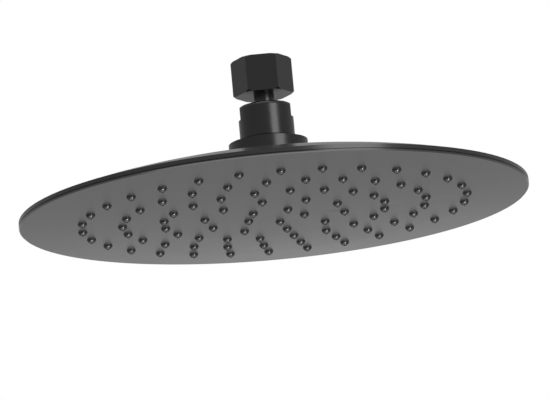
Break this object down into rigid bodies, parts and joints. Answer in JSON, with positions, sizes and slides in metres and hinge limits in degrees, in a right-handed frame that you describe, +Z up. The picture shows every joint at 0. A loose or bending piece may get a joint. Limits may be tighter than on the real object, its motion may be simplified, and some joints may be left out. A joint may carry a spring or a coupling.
{
  "type": "rain shower head",
  "caption": "Round lens-shaped rain shower head with rings of silicone nozzles, on a ball joint with a threaded inlet.",
  "frame": {"origin": "centre of the inlet's mouth, the top face of the hexagonal connector", "axes": "+Z up out of the inlet along the arm's thread; the spray face looks down -Z"},
  "size_m": [0.25, 0.25, 0.0808],
  "materials": {
    "black_abs": "black ABS with a satin metallic lacquer",
    "grey_silicone": "glossy dark silicone",
    "natural_abs": "unpainted ABS moulding",
    "black_brass": "turned brass with a satin black coating",
    "brass": "turned brass, bare",
    "acetal": "natural white acetal",
    "nylon": "black nylon",
    "steel": "stainless steel",
    "rubber": "black nitrile rubber",
    "blue_acetal": "moulded blue-grey acetal"
  },
  "bodies": {
    "connector": {"ball_connector": "black_brass", "filter_screen": "steel", "filter_gasket": "rubber", "flow_regulator": "blue_acetal", "regulator_ring": "rubber"},
    "upper_seat": {"upper_ball_seat": "acetal"},
    "lower_seat": {"lower_ball_seat": "acetal"},
    "head": {"ball_seal": "rubber", "collar_nut": "black_brass", "stem": "black_brass", "cover_washer": "nylon", "back_cover": "black_abs", "hub_insert": "brass", "stem_gasket": "rubber", "chamber_plate": "natural_abs", "chamber_screws": "steel", "nozzle_mat": "grey_silicone", "face_plate": "black_abs"}
  },
  "joints": [
    {"name": "tilt_x", "type": "hinge", "parent": "connector", "child": "upper_seat", "pos_m": [0, 0, -0.0315], "axis": [1, 0, 0], "range_deg": [-12, 12]},
    {"name": "tilt_y", "type": "hinge", "parent": "upper_seat", "child": "lower_seat", "pos_m": [0, 0, -0.0315], "axis": [0, 1, 0], "range_deg": [-12, 12]},
    {"name": "swivel", "type": "hinge", "parent": "lower_seat", "child": "head", "pos_m": [0, 0, -0.0315], "axis": [0, 0, 1], "continuous": true}
  ]
}
